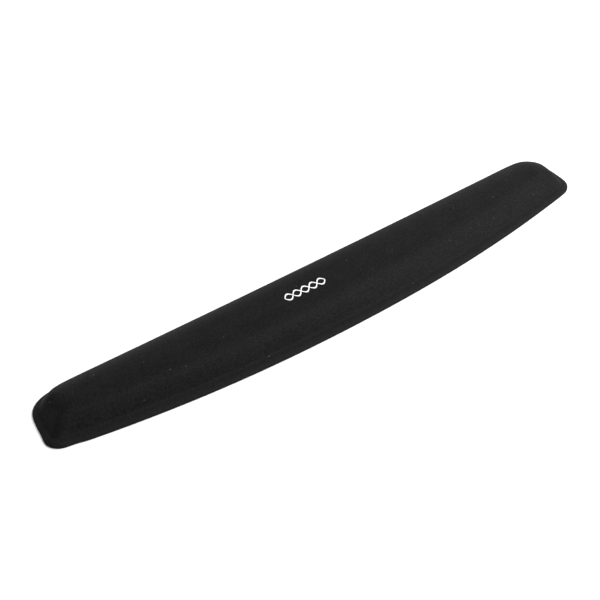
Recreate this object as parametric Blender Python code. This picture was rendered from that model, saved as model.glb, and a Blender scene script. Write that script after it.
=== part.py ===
"""A keyboard wrist rest: a gel pad under a stretch-knit cover, bonded round its rim to a thin non-slip base.

+X runs along the rest, +Y points to its straighter back edge, +Z is up. The origin is on the underside,
at the centre of the outline's box. Each piece is a closed solid, and neighbouring layers keep a small gap.
"""

import math

import bmesh
import bpy
from mathutils import Vector

# Outline, in metres
LENGTH = 0.480
WIDTH = 0.075  # front to back at mid-length
END_WIDTH = 0.051  # front to back at each end, before its corners are rounded
END_SLANT = 0.0027  # how far each end leans in at its back corner
FRONT_BOW_POWER = 2.13  # 2 would be a parabola; more keeps the middle of the front edge straighter
BACK_HOLLOW = 0.0013  # how far the back edge bends in at mid-length
FRONT_CORNER_RADIUS = 0.0145
BACK_CORNER_RADIUS = 0.025

# Layers, in metres
BASE_THICKNESS = 0.0012
FILM_THICKNESS = 0.0002
FABRIC_THICKNESS = 0.0007
GAP = 0.0003
FILM_EDGE_INSET = 0.0006  # the films stop a little inside the cut edge of the rim
PRINT_THICKNESS = 0.0002

# Pad, in metres
PAD_TOP = 0.0174  # height of the cover's level top
FLANGE_WIDTH = 0.004  # flat rim outside the foot of the pad
SHOULDER_WIDTH = 0.0204  # from the foot of the pad to its level top
SHOULDER_FULLNESS = 2.2  # how fast the shoulder levels off
FOOT_STEEPNESS = 1.6  # how steeply the shoulder leaves the rim
SHOULDER_STEPS = (0.0, 0.06, 0.18, 0.36, 0.64, 1.0)
GEL_FIRST_STEP = 1  # the gel's own wall stands at this step of the shoulder
SPINE_REACH = 0.86  # the ridge line's length as a share of the outline's

# Printed mark: a plaited double wave
MARK_CENTRE = (-0.020, 0.0015)
MARK_WAVES = 5
WAVE_LENGTH = 0.0072
WAVE_HEIGHT = 0.0034
STROKE_WIDTH = 0.0013
WAVE_STEPS = (0.0, 0.06, 0.2, 0.35, 0.5, 0.65, 0.8, 0.94)  # the strands are one within 0.06 of a crossing

EDGE_STEPS = 10
CORNER_STEPS = 6


def clear_scene():
    for obj in list(bpy.data.objects):
        bpy.data.objects.remove(obj)


def corner_arc(before, corner, after, radius):
    """Points on the arc that rounds a corner, from its start on the first side to its end on the second."""
    first = (before - corner).normalized()
    second = (after - corner).normalized()
    half_angle = first.angle(second) / 2
    centre = corner + (first + second).normalized() * radius / math.sin(half_angle)
    start = corner + first * radius / math.tan(half_angle) - centre
    end = corner + second * radius / math.tan(half_angle) - centre
    turn = start.angle_signed(end)
    points = []
    for step in range(CORNER_STEPS + 1):
        angle = -turn * step / CORNER_STEPS
        cos, sin = math.cos(angle), math.sin(angle)
        points.append(centre + Vector((start.x * cos - start.y * sin, start.x * sin + start.y * cos)))
    return points


def front_y(x):
    rise = WIDTH - END_WIDTH
    return -WIDTH / 2 + rise * abs(x / (LENGTH / 2)) ** FRONT_BOW_POWER


def back_y(x):
    return WIDTH / 2 - BACK_HOLLOW * (1 - (x / (LENGTH / 2 - END_SLANT)) ** 2)


def quarter(edge_y, corner, far_corner, radius):
    """A quarter of the outline, from mid-length along one edge and round its corner."""
    before = Vector((corner.x - radius, edge_y(corner.x - radius)))
    arc = corner_arc(before, corner, far_corner, radius)
    edge = []
    for step in range(EDGE_STEPS):
        x = arc[0].x * step / EDGE_STEPS
        edge.append(Vector((x, edge_y(x))))
    return edge + arc


def outline():
    """The plan outline, anticlockwise from the right tip, with its spine point beside each point."""
    front_corner = Vector((LENGTH / 2, front_y(LENGTH / 2)))
    back_corner = Vector((LENGTH / 2 - END_SLANT, WIDTH / 2))
    front = quarter(front_y, front_corner, back_corner, FRONT_CORNER_RADIUS)
    back = quarter(back_y, back_corner, front_corner, BACK_CORNER_RADIUS)
    tip = (front[-1] + back[-1]) / 2
    front.append(tip)
    back.append(tip)
    reach = SPINE_REACH * LENGTH / 2 / tip.x
    middle_y = (front[0].y + back[0].y) / 2
    spine = []
    for near, far in zip(front, back):
        along = (near.x + far.x) / 2 * reach
        lift = (near.y + far.y) / 2 - middle_y
        spine.append(Vector((along, middle_y + lift * reach)))

    steps = len(front) - 1
    flip = Vector((-1, 1))
    ring = [(back[i], spine[i]) for i in range(steps, 0, -1)]
    ring += [(back[i] * flip, spine[i] * flip) for i in range(steps)]
    ring += [(front[i] * flip, spine[i] * flip) for i in range(steps, 0, -1)]
    ring += [(front[i], spine[i]) for i in range(steps)]

    top = max(point.y for point, _ in ring)
    bottom = min(point.y for point, _ in ring)
    centring = Vector((0, (top + bottom) / 2))
    return [(point - centring, ridge - centring) for point, ridge in ring]


def shoulder_height(share):
    """Height of the cover's outside over the rim's top, at a share of the way up the shoulder."""
    return (PAD_TOP - RIM_TOP) * (1 - (1 - share) ** SHOULDER_FULLNESS) ** (1 / FOOT_STEEPNESS)


def ring_at(inset, height):
    """The outline moved in by a distance towards the spine, at a height."""
    points = []
    for point, ridge in RING:
        moved = point + (ridge - point).normalized() * inset
        points.append(Vector((moved.x, moved.y, height)))
    return points


def skin_rings(depth, edge_inset):
    """Rings of the skin that lies a distance under the cover's outside, from its edge to the spine."""
    rings = [ring_at(edge_inset, RIM_TOP - depth)]
    for share in SHOULDER_STEPS:
        inset = FLANGE_WIDTH + depth + share * SHOULDER_WIDTH
        rings.append(ring_at(inset, RIM_TOP + shoulder_height(share) - depth))
    rings.append([Vector((ridge.x, ridge.y, PAD_TOP - depth)) for _, ridge in RING])
    return rings


def loft(mesh, rings):
    """Joins closed rings of points with bands of quads. Returns the first ring's vertices."""
    loops = [[mesh.verts.new(point) for point in ring] for ring in rings]
    for outer, inner in zip(loops, loops[1:]):
        for i, start in enumerate(outer):
            following = (i + 1) % len(outer)
            mesh.faces.new((start, outer[following], inner[following], inner[i]))
    return loops[0]


def close_spine(mesh):
    """Joins the front and back halves along the spine, and turns the faces of the closed body outwards."""
    bmesh.ops.remove_doubles(mesh, verts=mesh.verts, dist=WELD)
    bmesh.ops.recalc_face_normals(mesh, faces=mesh.faces)


def material(name, colour, roughness):
    made = bpy.data.materials.new(name)
    made.use_nodes = True
    shader = made.node_tree.nodes["Principled BSDF"]
    shader.inputs["Base Color"].default_value = (*colour, 1.0)
    shader.inputs["Roughness"].default_value = roughness
    shader.inputs["Metallic"].default_value = 0.0
    return made


def add_object(name, mesh, finish):
    data = bpy.data.meshes.new(name)
    mesh.to_mesh(data)
    mesh.free()
    data.shade_smooth()
    data.set_sharp_from_angle(angle=SHARP_FROM)
    data.materials.append(finish)
    obj = bpy.data.objects.new(name, data)
    bpy.context.scene.collection.objects.link(obj)
    return obj


def add_plate(name, edge_inset, bottom, thickness, finish):
    """A flat layer cut to the outline."""
    mesh = bmesh.new()
    face = mesh.faces.new([mesh.verts.new(point) for point in ring_at(edge_inset, bottom)])
    made = bmesh.ops.extrude_face_region(mesh, geom=[face])["geom"]
    raised = [item for item in made if isinstance(item, bmesh.types.BMVert)]
    bmesh.ops.translate(mesh, verts=raised, vec=(0, 0, thickness))
    bmesh.ops.recalc_face_normals(mesh, faces=mesh.faces)
    return add_object(name, mesh, finish)


def add_skin(name, depth, edge_inset, thickness, finish):
    """A thin layer that follows the rim and the pad: its inside from the spine out, then its outside back in."""
    mesh = bmesh.new()
    inside = skin_rings(depth + thickness, edge_inset)
    outside = skin_rings(depth, edge_inset)
    loft(mesh, inside[::-1] + outside)
    close_spine(mesh)
    return add_object(name, mesh, finish)


def add_gel(name, depth, floor, finish):
    """The pad's filling: the domed top, a short wall at the foot and a flat underside."""
    mesh = bmesh.new()
    first_ring = 1 + GEL_FIRST_STEP
    rings = skin_rings(depth, 0.0)[first_ring:]
    wall_foot = [Vector((point.x, point.y, floor)) for point in rings[0]]
    foot = loft(mesh, [wall_foot] + rings)
    mesh.faces.new(foot)
    close_spine(mesh)
    return add_object(name, mesh, finish)


def add_mark(name, bottom, finish):
    """A plate cut as a double wave whose two strands cross, which leaves a row of lens-shaped windows."""
    mesh = bmesh.new()
    columns = []
    waves = [count + share for count in range(MARK_WAVES) for share in WAVE_STEPS]
    for wave in waves + [MARK_WAVES]:
        swing = WAVE_HEIGHT * abs(math.sin(math.pi * wave))
        inner = max(swing - STROKE_WIDTH / 2, 0.0)
        outer = swing + STROKE_WIDTH / 2
        x = MARK_CENTRE[0] + (wave - MARK_WAVES / 2) * WAVE_LENGTH
        heights = [-outer, -inner, inner, outer]
        columns.append([mesh.verts.new((x, MARK_CENTRE[1] + y, bottom)) for y in heights])
    for left, right in zip(columns, columns[1:]):
        mesh.faces.new((left[0], right[0], right[1], left[1]))
        mesh.faces.new((left[2], right[2], right[3], left[3]))
    bmesh.ops.remove_doubles(mesh, verts=mesh.verts, dist=WELD)
    made = bmesh.ops.extrude_face_region(mesh, geom=mesh.faces[:])["geom"]
    raised = [item for item in made if isinstance(item, bmesh.types.BMVert)]
    bmesh.ops.translate(mesh, verts=raised, vec=(0, 0, PRINT_THICKNESS))
    bmesh.ops.recalc_face_normals(mesh, faces=mesh.faces)
    return add_object(name, mesh, finish)


WELD = 0.00001
SHARP_FROM = math.radians(40)
RIM_TOP = BASE_THICKNESS + 2 * FILM_THICKNESS + FABRIC_THICKNESS + 3 * GAP
RING = outline()


def main():
    clear_scene()
    seal_bottom = BASE_THICKNESS + GAP
    film_depth = FABRIC_THICKNESS + GAP
    gel_depth = film_depth + FILM_THICKNESS + GAP
    gel_floor = seal_bottom + FILM_THICKNESS + GAP

    knit = material("knit_fabric", (0.022, 0.022, 0.023), 0.85)
    clear_film = material("film", (0.16, 0.16, 0.17), 0.45)
    gel = material("gel", (0.10, 0.14, 0.20), 0.30)
    rubber = material("base_rubber", (0.012, 0.012, 0.012), 0.60)
    ink = material("print_ink", (0.86, 0.86, 0.85), 0.55)

    add_plate("base_pad", 0.0, 0.0, BASE_THICKNESS, rubber)
    add_plate("gel_seal_film", FILM_EDGE_INSET, seal_bottom, FILM_THICKNESS, clear_film)
    add_gel("gel_pad", gel_depth, gel_floor, gel)
    add_skin("cover_film", film_depth, FILM_EDGE_INSET, FILM_THICKNESS, clear_film)
    add_skin("fabric_cover", 0.0, 0.0, FABRIC_THICKNESS, knit)
    add_mark("printed_mark", PAD_TOP + GAP, ink)


main()
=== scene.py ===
import math
import bpy
from mathutils import Euler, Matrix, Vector, kdtree


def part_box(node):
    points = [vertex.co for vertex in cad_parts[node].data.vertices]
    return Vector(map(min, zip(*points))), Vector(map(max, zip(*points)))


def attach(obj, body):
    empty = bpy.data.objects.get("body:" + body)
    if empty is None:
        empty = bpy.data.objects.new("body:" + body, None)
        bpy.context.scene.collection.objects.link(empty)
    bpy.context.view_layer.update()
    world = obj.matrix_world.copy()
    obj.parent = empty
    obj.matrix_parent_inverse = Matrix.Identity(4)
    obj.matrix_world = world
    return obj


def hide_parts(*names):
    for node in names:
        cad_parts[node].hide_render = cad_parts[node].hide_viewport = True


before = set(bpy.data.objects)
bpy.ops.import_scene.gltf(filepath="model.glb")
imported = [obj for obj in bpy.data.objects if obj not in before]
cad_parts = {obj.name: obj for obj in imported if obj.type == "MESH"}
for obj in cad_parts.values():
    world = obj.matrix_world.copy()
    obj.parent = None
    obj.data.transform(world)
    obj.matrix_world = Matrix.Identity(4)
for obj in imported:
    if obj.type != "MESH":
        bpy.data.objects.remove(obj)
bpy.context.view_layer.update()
mm = 0.001
print("frame loaded:", ", ".join(sorted(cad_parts)))


def selectOnly(obj):
    bpy.ops.object.select_all(action="DESELECT")
    obj.hide_set(False)
    obj.select_set(True)
    bpy.context.view_layer.objects.active = obj


def applyAll(obj):
    selectOnly(obj)
    for name in [modifier.name for modifier in obj.modifiers]:
        bpy.ops.object.modifier_apply(modifier=name)


def placeInMesh(obj):
    selectOnly(obj)
    bpy.ops.object.transform_apply(location=True, rotation=True, scale=True)


# the rest's outline, read from the base

outlineValues = {
    "smoothPoints": 12,  # points along each stretch between two of the base's corners
    "spacing": 1.0,  # mm between the finished outline's points
    "normalReach": 6,  # points either side that settle which way is inward
    "spineShort": 0.42,  # how far the middle line stops from each end, as a share of the end's width
    "cornerReach": 28.0,  # mm from each end to the point the corners are filled out from
    "bottomDepth": 0.1,  # mm, what counts as the base's lowest points
    # mm that the moulded ends stand out from the base's drawn outline,
    # by degrees round from the front to the back
    "leftFill": (
        (-90, 0.0), (-55, -0.8), (-14, 0.2), (12, -0.6), (28, -0.4), (54, 1.5), (85, 0.0), (90, 0.0)),
    "rightFill": (
        (-90, 0.0), (-50, 0.0), (-13, 1.2), (5, 1.4), (25, 1.7), (45, 0.7), (62, 0.0), (90, 0.0)),
}


def baseOutline():
    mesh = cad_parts["base_pad"].data
    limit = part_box("base_pad")[0].z + outlineValues["bottomDepth"] * mm
    found = {(round(v.co.x, 6), round(v.co.y, 6)) for v in mesh.vertices if v.co.z < limit}
    return [Vector(point) for point in sorted(found, key=lambda p: math.atan2(p[1], p[0]))]


def smoothLoop(points, steps):
    # a closed curve through the points, anticlockwise
    loop = []
    count = len(points)
    for i in range(count):
        before, start, end, after = (points[(i + shift) % count] for shift in (-1, 0, 1, 2))
        knots = [0.0]
        for a, b in ((before, start), (start, end), (end, after)):
            knots.append(knots[-1] + (b - a).length ** 0.5)
        for step in range(steps):
            t = knots[1] + (knots[2] - knots[1]) * step / steps
            a1 = before.lerp(start, (t - knots[0]) / (knots[1] - knots[0]))
            a2 = start.lerp(end, (t - knots[1]) / (knots[2] - knots[1]))
            a3 = end.lerp(after, (t - knots[2]) / (knots[3] - knots[2]))
            b1 = a1.lerp(a2, (t - knots[0]) / (knots[2] - knots[0]))
            b2 = a2.lerp(a3, (t - knots[1]) / (knots[3] - knots[1]))
            loop.append(b1.lerp(b2, (t - knots[1]) / (knots[2] - knots[1])))
    return loop


def smoothStep(value):
    value = min(max(value, 0.0), 1.0)
    return value * value * (3 - 2 * value)


def fillEnds(loop):
    # the moulded ends differ a little from the drawn outline
    v = outlineValues
    tip = max(point.x for point in loop)
    for point in loop:
        side = 1 if point.x > 0 else -1
        stops = v["rightFill"] if side > 0 else v["leftFill"]
        away = Vector((side * point.x - tip + v["cornerReach"] * mm, point.y))
        if away.x <= 0:
            continue
        angle = math.degrees(math.atan2(away.y, away.x))
        fill = 0.0
        for (low, first), (high, last) in zip(stops, stops[1:]):
            if low <= angle < high:
                fill = first + (last - first) * smoothStep((angle - low) / (high - low))
        away = away.normalized() * fill * mm
        point.x += side * away.x
        point.y += away.y
    return loop


class Side:
    # one of the outline's four sides, between two corners, read by share of its length
    def __init__(self, points):
        self.points = points
        self.lengths = [0.0]
        for a, b in zip(points, points[1:]):
            self.lengths.append(self.lengths[-1] + (b - a).length)

    def at(self, share):
        wanted = min(max(share, 0.0), 1.0) * self.lengths[-1]
        i = 0
        while i < len(self.lengths) - 2 and self.lengths[i + 1] < wanted:
            i += 1
        part = (wanted - self.lengths[i]) / (self.lengths[i + 1] - self.lengths[i])
        return self.points[i].lerp(self.points[i + 1], part)


def evenLoop(loop, spacing):
    # the same closed curve with its points evenly apart
    ring = Side(loop + [loop[0]])
    count = round(ring.lengths[-1] / (spacing * mm))
    return [ring.at(i / count) for i in range(count)]


outlineLoop = fillEnds(smoothLoop(baseOutline(), outlineValues["smoothPoints"]))
outlineLoop = evenLoop(outlineLoop, outlineValues["spacing"])


def cornerIndex(direction):
    return max(range(len(outlineLoop)), key=lambda i: outlineLoop[i].dot(Vector(direction)))


def between(first, last):
    count = len(outlineLoop)
    return [outlineLoop[(first + step) % count] for step in range((last - first) % count + 1)]


frontRight, backRight = cornerIndex((1, -1)), cornerIndex((1, 1))
backLeft, frontLeft = cornerIndex((-1, 1)), cornerIndex((-1, -1))
sides = {
    "right": Side(between(frontRight, backRight)),
    "back": Side(between(backRight, backLeft)[::-1]),
    "left": Side(between(backLeft, frontLeft)[::-1]),
    "front": Side(between(frontLeft, frontRight)),
}
edgeTree = kdtree.KDTree(len(outlineLoop))
for index, point in enumerate(outlineLoop):
    edgeTree.insert((point.x, point.y, 0.0), index)
edgeTree.balance()
print("outline read:", len(outlineLoop), "points")


def inwardAt(point):
    i = edgeTree.find((point.x, point.y, 0.0))[1]
    reach, count = outlineValues["normalReach"], len(outlineLoop)
    ahead = outlineLoop[(i + reach) % count] - outlineLoop[(i - reach) % count]
    return Vector((-ahead.y, ahead.x)).normalized()


endWidth = (sides["right"].at(1) - sides["right"].at(0)).length
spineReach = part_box("base_pad")[1].x - outlineValues["spineShort"] * endWidth


def spineAt(share):
    y = (sides["back"].at(share).y + sides["front"].at(share).y) / 2
    return Vector((spineReach * (2 * share - 1), y))


# the knit cover: a moulded, padded shell with a rolled rim

coverValues = {
    "columns": 240,  # cells along the rest
    "rows": 44,  # cells across it, an even number
    "edgeInset": 0.15,  # mm that the knit stops short of the outline
    "rimRings": (0.0, 0.03, 0.1, 0.2, 0.34, 0.52, 0.72, 0.9, 1.05, 1.2),  # shares of the rim's width
    "rimTop": 3.1,  # mm above the desk, the rim's highest line
    "rollPower": 1.45,  # of the rim's roll down to its edge: 2 is a quarter circle, less is flatter
    "rollDrop": 1.85,  # mm from the rim's top down to where the knit meets the base
    # along the front, along the back, round the left end, round the right end
    "rimWidth": (6.8, 2.2, 3.0, 3.4),  # mm
    "valley": (0.0, 0.05, 0.0, 0.05),  # mm that the pad's foot starts below the rim's top
    "fillet": (2.8, 1.2, 6.8, 2.6),  # mm, how softly the pad rises out of the rim
    "steep": (1.4, 1.9, 1.0, 1.3),  # a larger number makes a steeper foot
    "endFrom": 0.96,  # shares of the middle line's reach between which the ends take over
    "endFull": 1.06,
    "endBlend": 0.35,  # how much front and back keep of their own foot at the corners
    "sideBlend": 0.7,  # share of the end's width over which the front's foot turns into the back's
    "footPower": 1.3,  # how late the fillet lets the pad rise
    "packing": 1.15,  # more than 1 packs the rows towards the foot
    "padTop": 17.5,  # mm above the desk
    "crown": 0.4,  # mm that the pad's middle stands above that
    "shoulder": 20.4,  # mm, how far the shoulder takes to level off
    "fullness": 2.3,  # a larger number levels off sooner
    "thickness": 0.7,  # mm
    "cutWidth": 0.7,  # mm of the edge that shows the knit's cut
    "rimSheenRun": (1.5, 2.5),  # mm past the rim where the painted sheen ends, and over how much it fades
    "heldPast": 0.4,  # mm past the rim that the cloth is held
    "startShrink": 0.975,  # share of the pad's height that it has before it is blown up
    "pressure": 1.5,
    "stiffness": 60.0,
    "bending": 8.0,
    "damping": 30.0,
    "airDamping": 6.0,
    "frames": 18,
    "mostMove": 0.9,  # mm that the cloth may move
    "quality": 8,
    "mass": 0.3,
    "levels": 1,  # of the finer mesh
    # rounds and strength of relaxing, mm above the desk and from the middle where it begins
    "relaxAll": {"passes": 6, "factor": 0.5, "lowest": 3.4},
    "relaxEnds": {"passes": 14, "factor": 0.5, "lowest": 4.0, "fromMiddle": 194.0},
    "relaxFade": (3.0, 25.0),  # mm upwards and outwards that it fades in over
}


def footAt(edge):
    # the foot of the pad beside a point of the outline: rim width, valley, fillet (mm) and steepness
    v = coverValues
    middle = spineAt(min(max(edge.x / spineReach, -1.0), 1.0) * 0.5 + 0.5).y
    toBack = smoothStep((edge.y - middle) / (v["sideBlend"] * endWidth) + 0.5)
    atEnd = smoothStep((abs(edge.x) / spineReach - v["endFrom"]) / (v["endFull"] - v["endFrom"]))
    foot = []
    for name in ("rimWidth", "valley", "fillet", "steep"):
        front, back, leftEnd, rightEnd = v[name]
        end = leftEnd if edge.x < 0 else rightEnd
        along = front + (back - front) * toBack
        foot.append(along + (end - along) * atEnd * (1 - abs(2 * toBack - 1) * v["endBlend"]))
    return foot


def coverHeight(d, foot):
    # height in mm at d mm in from the edge
    v = coverValues
    width, valley, fillet, steep = foot
    if d < width:
        rolled = 1 - (1 - d / width) ** v["rollPower"]
        return v["rimTop"] - v["rollDrop"] * (1 - rolled ** (1 / v["rollPower"]))
    low = v["rimTop"] - valley
    share = min((d - width) / v["shoulder"], 1.0)
    rise = (1 - (1 - share) ** v["fullness"]) ** (1 / steep)
    rise *= 1 - math.exp(-(((d - width) / fillet) ** v["footPower"]))
    return low + (v["padTop"] - low) * rise


def gridRing(i, j, columns, rows):
    # which side a grid point belongs to, how far along it, and which ring it is on
    ring = min(i, columns - i, j, rows - j)
    if ring == rows // 2:
        return "spine", (i - ring) / (columns - 2 * ring), ring
    if j == ring:
        return "front", (i - ring) / (columns - 2 * ring), ring
    if j == rows - ring:
        return "back", (i - ring) / (columns - 2 * ring), ring
    side = "left" if i == ring else "right"
    return side, (j - ring) / (rows - 2 * ring), ring


def coverPoint(i, j):
    # a grid point's place on the cover, its distance in from the edge and the rim's width there, in mm
    v = coverValues
    columns, rows = v["columns"], v["rows"]
    side, share, ring = gridRing(i, j, columns, rows)
    if side == "spine":
        plan = spineAt(share)
    else:
        edge = sides[side].at(share)
        foot = footAt(edge)
        shares = v["rimRings"]
        plan = edge + inwardAt(edge) * (shares[min(ring, len(shares) - 1)] * foot[0] + v["edgeInset"]) * mm
        if ring < len(shares):
            d = shares[ring] * foot[0]
            return Vector((plan.x, plan.y, coverHeight(d, foot) * mm)), d, foot[0]
        target = {"left": spineAt(0), "right": spineAt(1)}.get(side) or spineAt(share)
        step = (ring - len(shares) + 1) / (rows // 2 - len(shares) + 1)
        plan = plan.lerp(target, step ** v["packing"])
    nearest, _, distance = edgeTree.find((plan.x, plan.y, 0.0))
    d, foot = distance / mm - v["edgeInset"], footAt(nearest)
    height = coverHeight(max(d, foot[0]), foot)
    share = (height - v["rimTop"]) / (v["padTop"] - v["rimTop"])
    crown = share * v["crown"] * (1 - min(abs(plan.x) / spineReach, 1.0) ** 2)
    return Vector((plan.x, plan.y, (height + crown) * mm)), d, foot[0]


def gridIndex(vertex):
    v = coverValues
    return round((vertex.co.x + 0.5) * v["columns"]), round((vertex.co.y + 0.5) * v["rows"])


def makeCover():
    v = coverValues
    bpy.ops.object.select_all(action="DESELECT")
    bpy.ops.mesh.primitive_grid_add(x_subdivisions=v["columns"], y_subdivisions=v["rows"], size=1)
    cover = bpy.context.object
    cover.name = "knit_cover"
    held = cover.vertex_groups.new(name="held")
    places = {}
    edges, rimSheens = [], []
    sheenPast, sheenFade = v["rimSheenRun"]
    for vertex in cover.data.vertices:
        i, j = gridIndex(vertex)
        places[i, j] = vertex.index
        point, d, width = coverPoint(i, j)
        edges.append(max(1 - d / v["cutWidth"], 0.0))
        # painted sheen: how much the rim's colour is lightened, fading out past the rim
        rimSheens.append(smoothStep((width + sheenPast - d) / sheenFade))
        if d > width:
            top = v["rimTop"] * mm
            point.z = top + (point.z - top) * v["startShrink"]
        vertex.co = point
        if d < width + v["heldPast"]:
            held.add([vertex.index], 1.0, "REPLACE")
    for name, values in (("cutEdge", edges), ("rimPaintedSheen", rimSheens)):
        cover.data.attributes.new(name, "FLOAT", "POINT").data.foreach_set("value", values)
    print("cover laid out:", len(cover.data.polygons), "faces")
    return cover, places


def unfoldCover(cover, places):
    # the knit's own map: every ring is laid out flat from the middle line, at its true distance
    v = coverValues
    columns, rows = v["columns"], v["rows"]
    points = cover.data.vertices
    flat = {}
    inwardFirst = sorted(places, key=lambda place: -gridRing(*place, columns, rows)[2])
    for i, j in inwardFirst:
        side, share, ring = gridRing(i, j, columns, rows)
        here = points[places[i, j]].co
        if side == "spine":
            flat[i, j] = here.xy
            continue
        stepI = (i == ring) - (i == columns - ring)
        stepJ = (j == ring) - (j == rows - ring)
        inner = points[places[i + stepI, j + stepJ]].co
        flat[i, j] = flat[i + stepI, j + stepJ] + (here.xy - inner.xy).normalized() * (here - inner).length
    byVertex = {places[place]: flat[place] for place in flat}
    for layer in list(cover.data.uv_layers):
        cover.data.uv_layers.remove(layer)
    layer = cover.data.uv_layers.new(name="knit")
    for loop in cover.data.loops:
        layer.data[loop.index].uv = byVertex[loop.vertex_index]


def blowUp(cover):
    # the gel swells the stretched knit: a short cloth run, its travel capped
    v = coverValues
    start = [vertex.co.copy() for vertex in cover.data.vertices]
    cloth = cover.modifiers.new("cloth", "CLOTH")
    settings = cloth.settings
    settings.quality = v["quality"]
    settings.mass = v["mass"]
    settings.air_damping = v["airDamping"]
    settings.tension_stiffness = settings.compression_stiffness = v["stiffness"]
    settings.shear_stiffness = v["stiffness"]
    settings.bending_stiffness = v["bending"]
    settings.tension_damping = settings.compression_damping = settings.shear_damping = v["damping"]
    settings.use_pressure = True
    settings.uniform_pressure_force = v["pressure"]
    settings.vertex_group_mass = "held"
    settings.effector_weights.gravity = 0
    cloth.collision_settings.use_self_collision = False
    cloth.point_cache.frame_start = 1
    cloth.point_cache.frame_end = v["frames"]
    for number in range(1, v["frames"] + 1):
        bpy.context.scene.frame_set(number)
    selectOnly(cover)
    bpy.ops.object.modifier_apply(modifier="cloth")
    bpy.context.scene.frame_set(1)
    furthest = 0.0
    for vertex, before in zip(cover.data.vertices, start):
        move = vertex.co - before
        furthest = max(furthest, move.length)
        if move.length > v["mostMove"] * mm:
            vertex.co = before + move.normalized() * v["mostMove"] * mm
    print("cover blown up: furthest move before the cap", round(furthest / mm, 2), "mm")


def evenOut(obj, passes, factor, lowest, fromMiddle=0.0):
    # relaxes the pad above a height and past a distance from the middle, both in mm
    fadeUp, fadeOut = coverValues["relaxFade"]
    group = obj.vertex_groups.new(name="pad")
    for vertex in obj.data.vertices:
        share = smoothStep((vertex.co.z / mm - lowest) / fadeUp)
        if fromMiddle:
            share *= smoothStep((abs(vertex.co.x) / mm - fromMiddle) / fadeOut)
        group.add([vertex.index], share, "REPLACE")
    relax = obj.modifiers.new("relax", "SMOOTH")
    relax.factor = factor
    relax.iterations = passes
    relax.vertex_group = "pad"
    applyAll(obj)
    obj.vertex_groups.remove(obj.vertex_groups["pad"])


cover, places = makeCover()
blowUp(cover)
evenOut(cover, **coverValues["relaxAll"])
evenOut(cover, **coverValues["relaxEnds"])
unfoldCover(cover, places)


def copyOf(obj, name):
    twin = obj.copy()
    twin.data = obj.data.copy()
    twin.name = name
    bpy.context.scene.collection.objects.link(twin)
    return twin


coverShape = copyOf(cover, "cover_shape")  # the knit's outside, which the film and the gel follow


def nodeMaterial(name):
    made = bpy.data.materials.new(name)
    made.use_nodes = True
    tree = made.node_tree
    return made, tree, tree.nodes["Principled BSDF"]


def mathNode(tree, operation, first, second=None, third=None):
    node = tree.nodes.new("ShaderNodeMath")
    node.operation = operation
    for socket, value in zip(node.inputs, (first, second, third)):
        if value is None:
            continue
        if isinstance(value, (int, float)):
            socket.default_value = value
        else:
            tree.links.new(value, socket)
    return node.outputs[0]


def rampNode(tree, value, stops):
    # stops are pairs of a place and a colour or a plain number
    node = tree.nodes.new("ShaderNodeValToRGB")
    ramp = node.color_ramp
    while len(ramp.elements) < len(stops):
        ramp.elements.new(0.5)
    for element, (place, colour) in zip(ramp.elements, stops):
        element.position = place
        element.color = (*colour, 1.0) if isinstance(colour, tuple) else (colour, colour, colour, 1.0)
    tree.links.new(value, node.inputs[0])
    return node.outputs[0]


def spreadNode(tree, noise, low, high):
    # nearly all of a noise lies between 0.3 and 0.7
    return rampNode(tree, noise, ((0.3, low), (0.7, high)))


def noiseNode(tree, coordinates, scale, detail, roughness):
    node = tree.nodes.new("ShaderNodeTexNoise")
    node.inputs["Scale"].default_value = scale
    node.inputs["Detail"].default_value = detail
    node.inputs["Roughness"].default_value = roughness
    tree.links.new(coordinates, node.inputs["Vector"])
    return node.outputs["Fac"]


def bumpNode(tree, height, strength, distance, normal=None):
    node = tree.nodes.new("ShaderNodeBump")
    node.inputs["Strength"].default_value = strength
    node.inputs["Distance"].default_value = distance
    tree.links.new(height, node.inputs["Height"])
    if normal is not None:
        tree.links.new(normal, node.inputs["Normal"])
    return node.outputs["Normal"]


def mixNode(tree, share, first, second):
    # first and second are a socket or a plain colour
    node = tree.nodes.new("ShaderNodeMix")
    node.data_type = "RGBA"
    tree.links.new(share, node.inputs["Factor"])
    for socket, value in ((node.inputs[6], first), (node.inputs[7], second)):
        if isinstance(value, tuple):
            socket.default_value = (*value, 1.0)
        else:
            tree.links.new(value, socket)
    return node.outputs[2]


knitValues = {
    "wale": 0.78,  # mm between columns of stitches
    "course": 0.62,  # mm between rows of stitches
    "dark": (0.0006, 0.0006, 0.0006),
    "light": (0.0096, 0.0096, 0.0096),
    "rimPaintedSheen": (0.0135, 0.0135, 0.0135),  # painted sheen: the pressed, flat rim is coloured a little lighter
    # how strongly the painted sheen lightens the rim's colour
    "rimSheenShare": 0.2,
    "cutEdge": (0.006, 0.006, 0.006),
    "cutShare": 0.6,
    "lint": (0.12, 0.12, 0.12),
    "lintPerMetre": 85.0,  # cells, with at most one speck in each
    "lintSize": 0.034,  # share of a cell
    "lintPick": 9.0,  # a larger number leaves fewer bright specks
    "lintShare": 0.55,
    "roughness": (0.49, 0.63),
    "shine": 0.21,  # share of the fibres that shine, the rest are dull
    "specular": 0.3,  # of the fibres that shine
    "dullSpecular": 0.003,  # of the rest, which only light up at the far edge
    "mottle": {"scale": 800.0, "detail": 3.0, "roughness": 0.62},  # scale is per metre
    "cloud": {"scale": 60.0, "detail": 2.0, "roughness": 0.5},
    "stitchShare": 0.42,  # of the tone's variation, the cloud has what the stitches and the mottle leave
    "mottleShare": 0.38,
    "reliefShadeShare": 0.04,  # added to these as painted shade, so a stitch's raised parts are a little lighter and its hollows darker
    "toneRange": (0.2, 0.82),  # where the tone is fully dark and fully light
    "legLean": 1.1,  # how much a stitch's legs lean
    "loopHeight": 0.35,  # beside a column's height of 1
    "stitchBump": (0.35, 0.00008),  # strength, and height in metres
    "mottleBump": (0.22, 0.0004),
}


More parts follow.
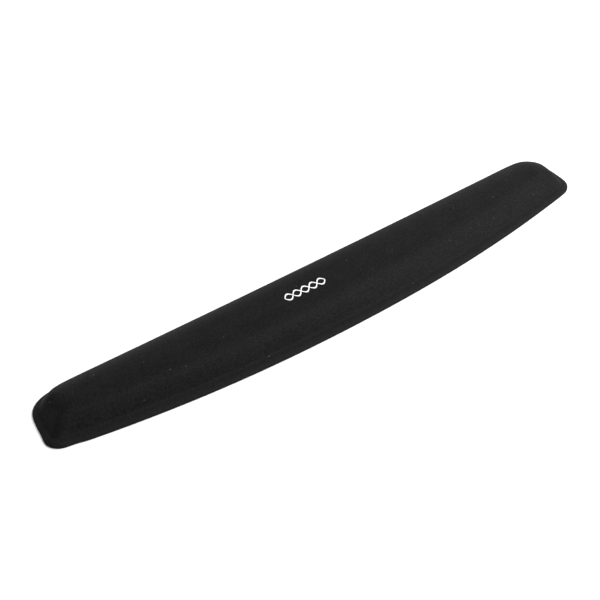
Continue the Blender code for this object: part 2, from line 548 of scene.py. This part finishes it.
def knitMaterial():
    v = knitValues
    made, tree, shader = nodeMaterial("black_knit")
    uvNode = tree.nodes.new("ShaderNodeUVMap")
    uvNode.uv_map = "knit"
    cloth = uvNode.outputs["UV"]
    split = tree.nodes.new("ShaderNodeSeparateXYZ")
    tree.links.new(cloth, split.inputs[0])
    across = mathNode(tree, "MULTIPLY", split.outputs[0], 1 / (v["wale"] * mm))
    along = mathNode(tree, "MULTIPLY", split.outputs[1], 1 / (v["course"] * mm))
    # each column is a row of V stitches: the two legs lean, so the rows rise towards the column's edges
    leg = mathNode(tree, "PINGPONG", across, 0.5)
    lean = mathNode(tree, "MULTIPLY_ADD", leg, v["legLean"], along)
    loop = mathNode(tree, "SINE", mathNode(tree, "MULTIPLY", lean, 2 * math.pi))
    legWave = mathNode(tree, "SINE", mathNode(tree, "MULTIPLY", leg, 2 * math.pi))
    stitch = mathNode(tree, "MULTIPLY_ADD", loop, v["loopHeight"], legWave)
    # every stitch takes the light a little differently
    cell = tree.nodes.new("ShaderNodeCombineXYZ")
    tree.links.new(mathNode(tree, "FLOOR", across), cell.inputs[0])
    tree.links.new(mathNode(tree, "FLOOR", along), cell.inputs[1])
    stitchTone = tree.nodes.new("ShaderNodeTexWhiteNoise")
    tree.links.new(cell.outputs[0], stitchTone.inputs["Vector"])
    coordinates = tree.nodes.new("ShaderNodeTexCoord").outputs["Object"]
    mottle = noiseNode(tree, coordinates, **v["mottle"])
    cloudy = noiseNode(tree, coordinates, **v["cloud"])
    mottlePart = mathNode(tree, "MULTIPLY", mottle, v["mottleShare"])
    tone = mathNode(tree, "MULTIPLY_ADD", stitchTone.outputs["Value"], v["stitchShare"], mottlePart)
    tone = mathNode(tree, "MULTIPLY_ADD", cloudy, 1 - v["stitchShare"] - v["mottleShare"], tone)
    # painted shade: the stitch's relief lightens the tone of its raised parts
    tone = mathNode(tree, "MULTIPLY_ADD", stitch, v["reliefShadeShare"], tone)
    yarn = rampNode(tree, tone, tuple(zip(v["toneRange"], (v["dark"], v["light"]))))
    # painted sheen lightens the rim's colour, and the cut edge gets its own tone
    for name, share in (("rimPaintedSheen", v["rimSheenShare"]), ("cutEdge", v["cutShare"])):
        place = tree.nodes.new("ShaderNodeAttribute")
        place.attribute_name = name
        yarn = mixNode(tree, mathNode(tree, "MULTIPLY", place.outputs["Fac"], share), yarn, v[name])
    specks = tree.nodes.new("ShaderNodeTexVoronoi")
    specks.voronoi_dimensions = "2D"
    specks.inputs["Scale"].default_value = v["lintPerMetre"]
    tree.links.new(cloth, specks.inputs["Vector"])
    near = mathNode(tree, "LESS_THAN", specks.outputs["Distance"], v["lintSize"])
    picked = tree.nodes.new("ShaderNodeSeparateXYZ")
    tree.links.new(specks.outputs["Color"], picked.inputs[0])
    lint = mathNode(tree, "MULTIPLY", near, mathNode(tree, "POWER", picked.outputs[0], v["lintPick"]))
    yarn = mixNode(tree, mathNode(tree, "MULTIPLY", lint, v["lintShare"]), yarn, v["lint"])
    rough = spreadNode(tree, mottle, *v["roughness"])
    normal = bumpNode(tree, stitch, *v["stitchBump"])
    normal = bumpNode(tree, mottle, *v["mottleBump"], normal)
    shiny = tree.nodes.new("ShaderNodeBsdfPrincipled")
    blend = tree.nodes.new("ShaderNodeMixShader")
    blend.inputs["Fac"].default_value = v["shine"]
    for place, fibres, specular in ((1, shader, v["dullSpecular"]), (2, shiny, v["specular"])):
        tree.links.new(yarn, fibres.inputs["Base Color"])
        tree.links.new(rough, fibres.inputs["Roughness"])
        tree.links.new(normal, fibres.inputs["Normal"])
        fibres.inputs["Specular IOR Level"].default_value = specular
        tree.links.new(fibres.outputs[0], blend.inputs[place])
    tree.links.new(blend.outputs[0], tree.nodes["Material Output"].inputs["Surface"])
    return made


def addLevels(obj, levels):
    smooth = obj.modifiers.new("finer", "SUBSURF")
    smooth.levels = levels
    smooth.render_levels = levels
    applyAll(obj)


def addWall(obj, thickness):
    wall = obj.modifiers.new("wall", "SOLIDIFY")
    wall.thickness = thickness * mm
    wall.offset = -1.0
    wall.use_even_offset = True
    applyAll(obj)


addLevels(cover, coverValues["levels"])
coverSkin = copyOf(cover, "cover_skin")  # the finer outside, which the print lies on
addWall(cover, coverValues["thickness"])
placeInMesh(cover)
cover.data.shade_smooth()
cover.data.materials.clear()
cover.data.materials.append(knitMaterial())
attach(cover, "root")
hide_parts("fabric_cover")
print("cover finished:", len(cover.data.polygons), "faces")


# inside the cover: film, gel and the film that seals the gel

filmValues = {
    "depth": 0.85,  # mm from the knit's outside to the film
    "thickness": 0.15,  # mm
    "ripple": {"scale": 90.0, "detail": 2.0, "roughness": 0.5},  # scale is per metre
    "dark": (0.36, 0.37, 0.38),
    "light": (0.44, 0.45, 0.46),
    "roughness": (0.22, 0.34),
    "bump": (0.2, 0.0005),  # strength, and height in metres
}

gelValues = {
    "depth": 1.15,  # mm from the knit's outside to the gel
    "sideFrom": 3.0,  # mm above the rim's top where the knit is when the gel's side turns straight down
    "floor": 1.6,  # mm above the desk
    "cloud": {"scale": 45.0, "detail": 3.0, "roughness": 0.55},  # scale is per metre
    "dark": (0.16, 0.2, 0.25),
    "light": (0.22, 0.27, 0.32),
    "roughness": 0.18,
    "bump": (0.1, 0.0005),  # strength, and height in metres
    "glow": 0.2,  # share of the light that goes in
    "glowDepth": 0.004,  # metres
}

sealValues = {
    "points": 360,  # round the outline
    "inset": 1.3,  # mm in from the outline
    "bottom": 1.35,  # mm above the desk
    "top": 1.5,
    "edgeRound": 0.04,  # mm
}

plateValues = {
    "normalReach": 0.002,  # share of the outline either side that settles which way is inward
    "edgeSegments": 3,
    "edgeAngle": 40,  # degrees, sharper edges are rounded
    "smoothAngle": 35,  # degrees, sharper edges stay sharp
}


def sinkIn(obj, depth):
    sink = obj.modifiers.new("sink", "DISPLACE")
    sink.mid_level = 0.0
    sink.strength = -depth * mm
    applyAll(obj)


def makeFilm():
    v = filmValues
    film = copyOf(coverShape, "lining_film")
    sinkIn(film, v["depth"])
    addWall(film, v["thickness"])
    film.data.shade_smooth()
    return film


def makeGel():
    v = gelValues
    gel = copyOf(coverShape, "gel_filling")
    sinkIn(gel, v["depth"])
    selectOnly(gel)
    lowest = (coverValues["rimTop"] + v["sideFrom"] - v["depth"]) * mm
    bpy.ops.object.mode_set(mode="EDIT")
    bpy.ops.mesh.select_mode(type="VERT")
    bpy.ops.mesh.select_all(action="DESELECT")
    bpy.ops.object.mode_set(mode="OBJECT")
    for vertex in gel.data.vertices:
        vertex.select = vertex.co.z < lowest
    bpy.ops.object.mode_set(mode="EDIT")
    bpy.ops.mesh.delete(type="VERT")
    bpy.ops.mesh.select_all(action="DESELECT")
    bpy.ops.mesh.select_non_manifold()
    bpy.ops.mesh.extrude_edges_move(TRANSFORM_OT_translate={"value": (0, 0, v["floor"] * mm - lowest)})
    bpy.ops.object.mode_set(mode="OBJECT")
    for vertex in gel.data.vertices:
        if vertex.select:
            vertex.co.z = v["floor"] * mm
    bpy.ops.object.mode_set(mode="EDIT")
    bpy.ops.mesh.edge_face_add()
    bpy.ops.mesh.select_all(action="SELECT")
    bpy.ops.mesh.normals_make_consistent(inside=False)
    bpy.ops.object.mode_set(mode="OBJECT")
    gel.data.shade_smooth()
    return gel


def plateFromOutline(name, values):
    # a flat layer cut to the outline, its edges softened
    v = plateValues
    count, reach = values["points"], v["normalReach"]
    bpy.ops.object.select_all(action="DESELECT")
    bpy.ops.mesh.primitive_circle_add(vertices=count, radius=0.1, fill_type="NGON")
    plate = bpy.context.object
    plate.name = name
    ring = Side(outlineLoop + [outlineLoop[0]])
    for vertex in plate.data.vertices:
        share = vertex.index / count
        ahead = ring.at(min(share + reach, 1.0)) - ring.at(max(share - reach, 0.0))
        inward = Vector((-ahead.y, ahead.x)).normalized()
        point = ring.at(share) + inward * values["inset"] * mm
        vertex.co = (point.x, point.y, values["bottom"] * mm)
    bpy.ops.object.mode_set(mode="EDIT")
    bpy.ops.mesh.select_all(action="SELECT")
    rise = (values["top"] - values["bottom"]) * mm
    bpy.ops.mesh.extrude_region_move(TRANSFORM_OT_translate={"value": (0, 0, rise)})
    bpy.ops.mesh.select_all(action="SELECT")
    bpy.ops.mesh.normals_make_consistent(inside=False)
    bpy.ops.object.mode_set(mode="OBJECT")
    edge = plate.modifiers.new("edge", "BEVEL")
    edge.width = values["edgeRound"] * mm
    edge.segments = v["edgeSegments"]
    edge.limit_method = "ANGLE"
    edge.angle_limit = math.radians(v["edgeAngle"])
    applyAll(plate)
    placeInMesh(plate)
    selectOnly(plate)
    bpy.ops.object.shade_smooth_by_angle(angle=math.radians(v["smoothAngle"]))
    return plate


def filmMaterial():
    v = filmValues
    made, tree, shader = nodeMaterial("clear_film")
    coordinates = tree.nodes.new("ShaderNodeTexCoord").outputs["Object"]
    ripple = noiseNode(tree, coordinates, **v["ripple"])
    tree.links.new(spreadNode(tree, ripple, v["dark"], v["light"]), shader.inputs["Base Color"])
    tree.links.new(spreadNode(tree, ripple, *v["roughness"]), shader.inputs["Roughness"])
    tree.links.new(bumpNode(tree, ripple, *v["bump"]), shader.inputs["Normal"])
    return made


def gelMaterial():
    v = gelValues
    made, tree, shader = nodeMaterial("soft_gel")
    coordinates = tree.nodes.new("ShaderNodeTexCoord").outputs["Object"]
    cloud = noiseNode(tree, coordinates, **v["cloud"])
    tree.links.new(spreadNode(tree, cloud, v["dark"], v["light"]), shader.inputs["Base Color"])
    tree.links.new(bumpNode(tree, cloud, *v["bump"]), shader.inputs["Normal"])
    shader.inputs["Roughness"].default_value = v["roughness"]
    shader.inputs["Subsurface Weight"].default_value = v["glow"]
    shader.inputs["Subsurface Scale"].default_value = v["glowDepth"]
    return made


def finish(obj, node, material):
    placeInMesh(obj)
    obj.data.materials.clear()
    obj.data.materials.append(material)
    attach(obj, "root")
    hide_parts(node)
    print(obj.name, "finished:", len(obj.data.polygons), "faces")


film, gel = makeFilm(), makeGel()
seal = plateFromOutline("gel_seal", sealValues)
filmLook = filmMaterial()
finish(film, "cover_film", filmLook)
finish(seal, "gel_seal_film", filmLook)
finish(gel, "gel_pad", gelMaterial())


# the non-slip base

baseValues = {
    "points": 480,  # round the outline
    "inset": -0.2,  # mm in from the outline, less than 0 stands out past it
    "bottom": 0.0,  # mm above the desk
    "top": 1.3,
    "edgeRound": 0.18,  # mm
    "grain": {"scale": 900.0, "detail": 3.0, "roughness": 0.6},  # scale is per metre
    "dark": (0.0018, 0.0018, 0.0018),
    "light": (0.0042, 0.0042, 0.0042),
    "roughness": (0.5, 0.68),
    "specular": 0.12,
    "bump": (0.3, 0.0002),  # strength, and height in metres
}


def rubberMaterial():
    v = baseValues
    made, tree, shader = nodeMaterial("base_rubber")
    coordinates = tree.nodes.new("ShaderNodeTexCoord").outputs["Object"]
    grain = noiseNode(tree, coordinates, **v["grain"])
    tree.links.new(spreadNode(tree, grain, v["dark"], v["light"]), shader.inputs["Base Color"])
    tree.links.new(spreadNode(tree, grain, *v["roughness"]), shader.inputs["Roughness"])
    tree.links.new(bumpNode(tree, grain, *v["bump"]), shader.inputs["Normal"])
    shader.inputs["Specular IOR Level"].default_value = v["specular"]
    return made


base = plateFromOutline("grip_base", baseValues)
finish(base, "base_pad", rubberMaterial())


# the white print

printValues = {
    "mergeWithin": 0.01,  # mm
    "topFacing": 0.5,  # faces whose normal points up less than this are left out
    "cuts": 2,  # across each face, so that the ink bends with the knit
    "dropFrom": 5.0,  # mm above its drawn place, from where it is laid down on the knit
    "lift": 0.05,  # mm from the knit to the ink's underside
    "thickness": 0.08,  # mm
    "smoothAngle": 40,  # degrees, sharper edges stay sharp
    "weave": {"scale": 1600.0, "detail": 2.0, "roughness": 0.6},  # scale is per metre
    "patch": {"scale": 260.0, "detail": 2.0, "roughness": 0.5},
    "patchShare": 0.5,  # of the wear, the weave has the rest
    "wear": (0.34, 0.46),  # where it leaves the ink fully worn and fully covering
    "worn": (0.5, 0.5, 0.5),
    "ink": (0.78, 0.78, 0.77),
    "roughness": 0.6,
    "bump": (0.3, 0.0001),  # strength, and height in metres
}


def makePrint():
    v = printValues
    ink = copyOf(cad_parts["printed_mark"], "white_print")
    ink.hide_render = False
    ink.hide_set(False)
    selectOnly(ink)
    bpy.ops.object.mode_set(mode="EDIT")
    bpy.ops.mesh.select_all(action="SELECT")
    bpy.ops.mesh.remove_doubles(threshold=v["mergeWithin"] * mm)
    bpy.ops.mesh.select_mode(type="FACE")
    bpy.ops.mesh.select_all(action="DESELECT")
    bpy.ops.object.mode_set(mode="OBJECT")
    for face in ink.data.polygons:
        face.select = face.normal.z < v["topFacing"]
    bpy.ops.object.mode_set(mode="EDIT")
    bpy.ops.mesh.delete(type="FACE")
    bpy.ops.mesh.select_all(action="SELECT")
    bpy.ops.mesh.tris_convert_to_quads()
    bpy.ops.mesh.subdivide(number_cuts=v["cuts"])
    bpy.ops.transform.translate(value=(0, 0, v["dropFrom"] * mm))
    bpy.ops.object.mode_set(mode="OBJECT")
    lay = ink.modifiers.new("lay", "SHRINKWRAP")
    lay.target = coverSkin
    lay.wrap_method = "PROJECT"
    lay.use_project_z = True
    lay.use_negative_direction = True
    lay.offset = (v["lift"] + v["thickness"]) * mm
    applyAll(ink)
    addWall(ink, v["thickness"])
    selectOnly(ink)
    bpy.ops.object.shade_smooth_by_angle(angle=math.radians(v["smoothAngle"]))
    return ink


def inkMaterial():
    v = printValues
    made, tree, shader = nodeMaterial("white_ink")
    coordinates = tree.nodes.new("ShaderNodeTexCoord").outputs["Object"]
    weave = noiseNode(tree, coordinates, **v["weave"])
    patch = noiseNode(tree, coordinates, **v["patch"])
    patchPart = mathNode(tree, "MULTIPLY", patch, v["patchShare"])
    whole = mathNode(tree, "MULTIPLY_ADD", weave, 1 - v["patchShare"], patchPart)
    stops = tuple(zip(v["wear"], (v["worn"], v["ink"])))
    tree.links.new(rampNode(tree, whole, stops), shader.inputs["Base Color"])
    tree.links.new(bumpNode(tree, weave, *v["bump"]), shader.inputs["Normal"])
    shader.inputs["Roughness"].default_value = v["roughness"]
    return made


ink = makePrint()
finish(ink, "printed_mark", inkMaterial())


# floor, lights and camera

stageValues = {
    "floorSize": 2.6,  # metres
    "floorDrop": 0.2,  # mm below the rest, so that the two don't touch
    "floorColour": (0.86, 0.86, 0.86, 1.0),
    "floorRoughness": 0.9,
    "worldColour": (1.0, 1.0, 1.0, 1.0),
    "worldStrength": 0.58,  # how much it lights the rest; the camera sees it white
}

lightValues = {
    "distance": 1.3,  # metres from the rest's middle
    "size": 0.7,  # metres, square
    "lamps": {  # degrees round, degrees up, watts
        "key": (-45, 64, 13.8),
        "frontRight": (-45, 12, 11.6),
        "rightHigh": (0, 38, 5.1),
        "rightLow": (0, 12, 2.7),
        "backRight": (45, 12, 4.6),
        "back": (90, 12, 6.2),
    },
}

cameraValues = {
    "azimuth": -31.64,  # degrees round the rest, 0 looks along +Y
    "elevation": 45.0,
    "roll": -3.16,
    "distance": 0.837,  # metres from the rest's middle
    "sensor": 36.0,  # mm
    "lens": 64.69,  # mm
    "clipStart": 0.01,  # metres
    "shift": (-0.0483, -0.0061),  # frames the rest a little right of the middle
}


def addFloor():
    v = stageValues
    bpy.ops.object.select_all(action="DESELECT")
    bpy.ops.mesh.primitive_plane_add(size=v["floorSize"], location=(0, 0, -v["floorDrop"] * mm))
    floor = bpy.context.object
    floor.name = "floor"
    made, tree, shader = nodeMaterial("floor_paper")
    shader.inputs["Base Color"].default_value = v["floorColour"]
    shader.inputs["Roughness"].default_value = v["floorRoughness"]
    floor.data.materials.append(made)


def directionTo(around, up):
    # from the middle, degrees round (0 is the right end, 90 the back) and degrees up
    around, up = math.radians(around), math.radians(up)
    return Vector((math.cos(around) * math.cos(up), math.sin(around) * math.cos(up), math.sin(up)))


def addLights():
    world = bpy.data.worlds.new("studio")
    world.use_nodes = True
    tree = world.node_tree
    background = tree.nodes["Background"]
    background.inputs["Color"].default_value = stageValues["worldColour"]
    seen = tree.nodes.new("ShaderNodeLightPath").outputs["Is Camera Ray"]
    level = stageValues["worldStrength"]
    tree.links.new(mathNode(tree, "MULTIPLY_ADD", seen, 1 - level, level), background.inputs["Strength"])
    bpy.context.scene.world = world
    v = lightValues
    for name, (around, up, watts) in v["lamps"].items():
        away = directionTo(around, up)
        light = bpy.data.lights.new(name, "AREA")
        light.shape = "SQUARE"
        light.size = v["size"]
        light.energy = watts
        lamp = bpy.data.objects.new(name, light)
        lamp.location = away * v["distance"]
        lamp.rotation_euler = (-away).to_track_quat("-Z", "Y").to_euler()
        bpy.context.scene.collection.objects.link(lamp)


def addCamera():
    v = cameraValues
    data = bpy.data.cameras.new("camera")
    camera = bpy.data.objects.new("camera", data)
    back = directionTo(v["azimuth"] - 90, v["elevation"])
    camera.location = back * v["distance"]
    turn = back.to_track_quat("Z", "Y").to_matrix().to_4x4()
    roll = Euler((0, 0, math.radians(v["roll"]))).to_matrix().to_4x4()
    camera.rotation_euler = (turn @ roll).to_euler()
    data.sensor_width = v["sensor"]
    data.lens = v["lens"]
    data.shift_x, data.shift_y = v["shift"]
    data.clip_start = v["clipStart"]
    bpy.context.scene.collection.objects.link(camera)
    bpy.context.scene.camera = camera


addFloor()
addLights()
addCamera()
bpy.context.scene.view_settings.view_transform = "Standard"
print("stage set")

for helper in (coverShape, coverSkin):
    bpy.data.objects.remove(helper)
